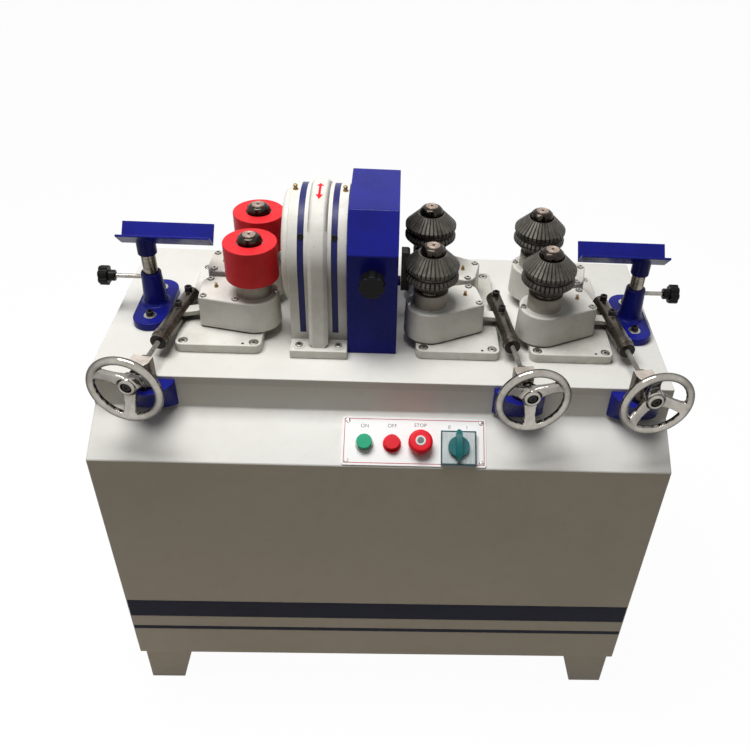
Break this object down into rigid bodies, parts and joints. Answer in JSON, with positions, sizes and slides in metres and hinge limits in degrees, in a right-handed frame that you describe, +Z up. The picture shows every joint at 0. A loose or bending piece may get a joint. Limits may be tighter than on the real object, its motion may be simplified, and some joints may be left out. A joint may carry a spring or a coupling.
{
  "type": "round rod milling machine",
  "caption": "Floor-standing woodworking machine that mills square battens into round rods: sheet cabinet, swing-arm feed rollers with handwheels, hollow cutterhead and rod supports.",
  "frame": {"origin": "on the floor under the middle of the cabinet", "axes": "+X towards the infeed end, against the feed; +Y to the back; +Z up"},
  "size_m": [1.0398, 0.5111, 1.018],
  "materials": {
    "white_sheet": "satin paint",
    "white_casting": "satin paint",
    "blue_paint": "gloss paint",
    "red_tyre": "smooth polyurethane",
    "black_steel": "blackened",
    "steel": "turned",
    "brown_steel": "oiled",
    "chrome": "polished",
    "cast_pulley": "machined",
    "motor_paint": "paint",
    "belt": "matte",
    "black_plastic": "gloss",
    "panel": "printed",
    "control_grey": "matte",
    "green": "gloss",
    "red": "gloss",
    "teal": "gloss"
  },
  "bodies": {
    "frame": {"cabinet": "white_sheet", "cabinet_feet": "white_sheet", "rear_door": "white_sheet", "table_plate": "white_sheet", "base_plates": "white_casting", "pivot_sleeves": "steel", "cutter_housing": "white_casting", "housing_end_cover": "white_casting", "spindle_bearings": "steel", "cutter_cover": "blue_paint", "screw_brackets": "blue_paint", "support_sockets": "blue_paint", "main_motor": "motor_paint", "feed_gearmotor": "motor_paint", "drive_belts": "belt", "mounting_screws": "black_steel", "control_plate": "panel", "control_bodies": "control_grey"},
    "spindle": {"spindle": "steel", "spindle_pulley": "cast_pulley", "cutterhead": "steel", "cutter_knives": "steel"},
    "motor_rotor": {"motor_pulley": "cast_pulley"},
    "outfeed_swivel": {"outfeed_swivel_block": "brown_steel"},
    "outfeed_handwheel": {"outfeed_handwheel": "chrome"},
    "outfeed_barrel": {"outfeed_barrel": "brown_steel"},
    "outfeed_front_arm": {"outfeed_front_arm": "white_casting"},
    "outfeed_front_roller": {"outfeed_front_roller": "red_tyre", "outfeed_front_shaft": "steel"},
    "outfeed_back_arm": {"outfeed_back_arm": "white_casting"},
    "outfeed_back_roller": {"outfeed_back_roller": "red_tyre", "outfeed_back_shaft": "steel"},
    "middle_swivel": {"middle_swivel_block": "brown_steel"},
    "middle_handwheel": {"middle_handwheel": "chrome"},
    "middle_barrel": {"middle_barrel": "brown_steel"},
    "middle_front_arm": {"middle_front_arm": "white_casting"},
    "middle_front_roller": {"middle_front_roller": "black_steel", "middle_front_shaft": "steel"},
    "middle_back_arm": {"middle_back_arm": "white_casting"},
    "middle_back_roller": {"middle_back_roller": "black_steel", "middle_back_shaft": "steel"},
    "infeed_swivel": {"infeed_swivel_block": "brown_steel"},
    "infeed_handwheel": {"infeed_handwheel": "chrome"},
    "infeed_barrel": {"infeed_barrel": "brown_steel"},
    "infeed_front_arm": {"infeed_front_arm": "white_casting"},
    "infeed_front_roller": {"infeed_front_roller": "black_steel", "infeed_front_shaft": "steel"},
    "infeed_back_arm": {"infeed_back_arm": "white_casting"},
    "infeed_back_roller": {"infeed_back_roller": "black_steel", "infeed_back_shaft": "steel"},
    "outfeed_support": {"outfeed_support": "blue_paint"},
    "outfeed_clamp_knob": {"outfeed_clamp_knob": "black_plastic"},
    "infeed_support": {"infeed_support": "blue_paint"},
    "infeed_clamp_knob": {"infeed_clamp_knob": "black_plastic"},
    "infeed_guide": {"infeed_guide": "black_steel"},
    "cover_knob": {"cover_knob": "black_plastic"},
    "start_button": {"start_button": "green"},
    "stop_button": {"stop_button": "red"},
    "emergency_stop": {"emergency_stop": "red"},
    "selector_knob": {"selector_knob": "teal"}
  },
  "joints": [
    {"name": "spindle_spin", "type": "hinge", "parent": "frame", "child": "spindle", "pos_m": [-0.1175, 0.036, 0.906], "axis": [1, 0, 0], "continuous": true},
    {"name": "motor_spin", "type": "hinge", "parent": "frame", "child": "motor_rotor", "pos_m": [-0.1175, 0.036, 0.217], "axis": [1, 0, 0], "continuous": true},
    {"name": "outfeed_swivel_turn", "type": "hinge", "parent": "frame", "child": "outfeed_swivel", "pos_m": [-0.393, -0.178, 0.795], "axis": [0, 0, 1], "range_deg": [-0.5, 2.53]},
    {"name": "outfeed_handwheel_turn", "type": "hinge", "parent": "outfeed_swivel", "child": "outfeed_handwheel", "pos_m": [-0.40106, -0.2243, 0.795], "axis": [-0.1716, -0.9852, 0], "range_deg": [-524.2, 2676.7]},
    {"name": "outfeed_barrel_slide", "type": "slide", "parent": "outfeed_swivel", "child": "outfeed_barrel", "axis": [0.1716, 0.9852, 0], "range_m": [-0.00439, 0.02233]},
    {"name": "outfeed_front_arm_swing", "type": "hinge", "parent": "frame", "child": "outfeed_front_arm", "pos_m": [-0.3, -0.002, 0.8], "axis": [0, 0, 1], "range_deg": [-19.47, 3.83]},
    {"name": "outfeed_front_roller_spin", "type": "hinge", "parent": "outfeed_front_arm", "child": "outfeed_front_roller", "pos_m": [-0.23276, -0.0175, 0.906], "axis": [0, 0, 1], "continuous": true},
    {"name": "outfeed_back_arm_swing", "type": "hinge", "parent": "frame", "child": "outfeed_back_arm", "pos_m": [-0.3, 0.074, 0.8], "axis": [0, 0, 1], "range_deg": [-3.83, 19.47]},
    {"name": "outfeed_back_roller_spin", "type": "hinge", "parent": "outfeed_back_arm", "child": "outfeed_back_roller", "pos_m": [-0.23276, 0.0895, 0.906], "axis": [0, 0, 1], "continuous": true},
    {"name": "middle_swivel_turn", "type": "hinge", "parent": "frame", "child": "middle_swivel", "pos_m": [0.2265, -0.178, 0.795], "axis": [0, 0, 1], "range_deg": [-0.77, 2.08]},
    {"name": "middle_handwheel_turn", "type": "hinge", "parent": "middle_swivel", "child": "middle_handwheel", "pos_m": [0.23301, -0.22455, 0.795], "axis": [0.1385, -0.9904, 0], "range_deg": [-2385.2, 869.9]},
    {"name": "middle_barrel_slide", "type": "slide", "parent": "middle_swivel", "child": "middle_barrel", "axis": [-0.1385, 0.9904, 0], "range_m": [-0.0199, 0.00727]},
    {"name": "middle_front_arm_swing", "type": "hinge", "parent": "frame", "child": "middle_front_arm", "pos_m": [0.1335, -0.002, 0.8], "axis": [0, 0, 1], "range_deg": [-17.17, 6.27]},
    {"name": "middle_front_roller_spin", "type": "hinge", "parent": "middle_front_arm", "child": "middle_front_roller", "pos_m": [0.07211, -0.0335, 0.906], "axis": [0, 0, 1], "continuous": true},
    {"name": "middle_back_arm_swing", "type": "hinge", "parent": "frame", "child": "middle_back_arm", "pos_m": [0.1335, 0.074, 0.8], "axis": [0, 0, 1], "range_deg": [-6.27, 17.17]},
    {"name": "middle_back_roller_spin", "type": "hinge", "parent": "middle_back_arm", "child": "middle_back_roller", "pos_m": [0.07211, 0.1055, 0.906], "axis": [0, 0, 1], "continuous": true},
    {"name": "infeed_swivel_turn", "type": "hinge", "parent": "frame", "child": "infeed_swivel", "pos_m": [0.426, -0.178, 0.795], "axis": [0, 0, 1], "range_deg": [-0.88, 1.98]},
    {"name": "infeed_handwheel_turn", "type": "hinge", "parent": "infeed_swivel", "child": "infeed_handwheel", "pos_m": [0.43257, -0.22454, 0.795], "axis": [0.1397, -0.9902, 0], "range_deg": [-2257.5, 999.9]},
    {"name": "infeed_barrel_slide", "type": "slide", "parent": "infeed_swivel", "child": "infeed_barrel", "axis": [-0.1397, 0.9902, 0], "range_m": [-0.01883, 0.00835]},
    {"name": "infeed_front_arm_swing", "type": "hinge", "parent": "frame", "child": "infeed_front_arm", "pos_m": [0.333, -0.002, 0.8], "axis": [0, 0, 1], "range_deg": [-16.24, 7.2]},
    {"name": "infeed_front_roller_spin", "type": "hinge", "parent": "infeed_front_arm", "child": "infeed_front_roller", "pos_m": [0.27111, -0.0325, 0.906], "axis": [0, 0, 1], "continuous": true},
    {"name": "infeed_back_arm_swing", "type": "hinge", "parent": "frame", "child": "infeed_back_arm", "pos_m": [0.333, 0.074, 0.8], "axis": [0, 0, 1], "range_deg": [-7.2, 16.24]},
    {"name": "infeed_back_roller_spin", "type": "hinge", "parent": "infeed_back_arm", "child": "infeed_back_roller", "pos_m": [0.27111, 0.1045, 0.906], "axis": [0, 0, 1], "continuous": true},
    {"name": "outfeed_support_slide", "type": "slide", "parent": "frame", "child": "outfeed_support", "axis": [0, 0, 1], "range_m": [-0.036, 0.002]},
    {"name": "outfeed_clamp_turn", "type": "hinge", "parent": "frame", "child": "outfeed_clamp_knob", "pos_m": [-0.482, 0.036, 0.829], "axis": [-1, 0, 0], "range_deg": [0, 360]},
    {"name": "infeed_support_slide", "type": "slide", "parent": "frame", "child": "infeed_support", "axis": [0, 0, 1], "range_m": [-0.03, 0.006]},
    {"name": "infeed_clamp_turn", "type": "hinge", "parent": "frame", "child": "infeed_clamp_knob", "pos_m": [0.509, 0.036, 0.829], "axis": [1, 0, 0], "range_deg": [0, 360]},
    {"name": "infeed_guide_slide", "type": "slide", "parent": "frame", "child": "infeed_guide", "axis": [0, 0, 1], "range_m": [-0.026, 0]},
    {"name": "cover_knob_turn", "type": "hinge", "parent": "frame", "child": "cover_knob", "pos_m": [-0.0265, -0.084, 0.918], "axis": [0, -1, 0], "range_deg": [0, 360]},
    {"name": "start_button_press", "type": "slide", "parent": "frame", "child": "start_button", "axis": [0, 0.4874, -0.8732], "range_m": [0, 0.004], "stiffness_N_per_m": 800},
    {"name": "stop_button_press", "type": "slide", "parent": "frame", "child": "stop_button", "axis": [0, 0.4874, -0.8732], "range_m": [0, 0.004], "stiffness_N_per_m": 800},
    {"name": "emergency_stop_press", "type": "slide", "parent": "frame", "child": "emergency_stop", "axis": [0, 0.4874, -0.8732], "range_m": [0, 0.004]},
    {"name": "selector_turn", "type": "hinge", "parent": "frame", "child": "selector_knob", "pos_m": [0.125, -0.22503, 0.67656], "axis": [0, -0.4874, 0.8732], "range_deg": [-45, 45]}
  ],
  "couplings": [
    {"joint": "motor_spin", "follows": "spindle_spin", "ratio": 1.4008},
    {"joint": "outfeed_swivel_turn", "follows": "outfeed_handwheel_turn", "ratio": 0.00094299},
    {"joint": "outfeed_barrel_slide", "follows": "outfeed_handwheel_turn", "m_per_rad": 0.00047746},
    {"joint": "outfeed_front_arm_swing", "follows": "outfeed_handwheel_turn", "ratio": -0.0072649},
    {"joint": "outfeed_front_roller_spin", "follows": "middle_front_roller_spin", "ratio": 1},
    {"joint": "outfeed_back_arm_swing", "follows": "outfeed_handwheel_turn", "ratio": 0.0072649},
    {"joint": "outfeed_back_roller_spin", "follows": "middle_front_roller_spin", "ratio": -1},
    {"joint": "middle_swivel_turn", "follows": "middle_handwheel_turn", "ratio": -0.00086916},
    {"joint": "middle_barrel_slide", "follows": "middle_handwheel_turn", "m_per_rad": 0.00047746},
    {"joint": "middle_front_arm_swing", "follows": "middle_handwheel_turn", "ratio": 0.0071891},
    {"joint": "middle_back_arm_swing", "follows": "middle_handwheel_turn", "ratio": -0.0071891},
    {"joint": "middle_back_roller_spin", "follows": "middle_front_roller_spin", "ratio": -1},
    {"joint": "infeed_swivel_turn", "follows": "infeed_handwheel_turn", "ratio": -0.00087072},
    {"joint": "infeed_barrel_slide", "follows": "infeed_handwheel_turn", "m_per_rad": 0.00047746},
    {"joint": "infeed_front_arm_swing", "follows": "infeed_handwheel_turn", "ratio": 0.0071841},
    {"joint": "infeed_front_roller_spin", "follows": "middle_front_roller_spin", "ratio": 1},
    {"joint": "infeed_back_arm_swing", "follows": "infeed_handwheel_turn", "ratio": -0.0071841},
    {"joint": "infeed_back_roller_spin", "follows": "middle_front_roller_spin", "ratio": -1}
  ]
}
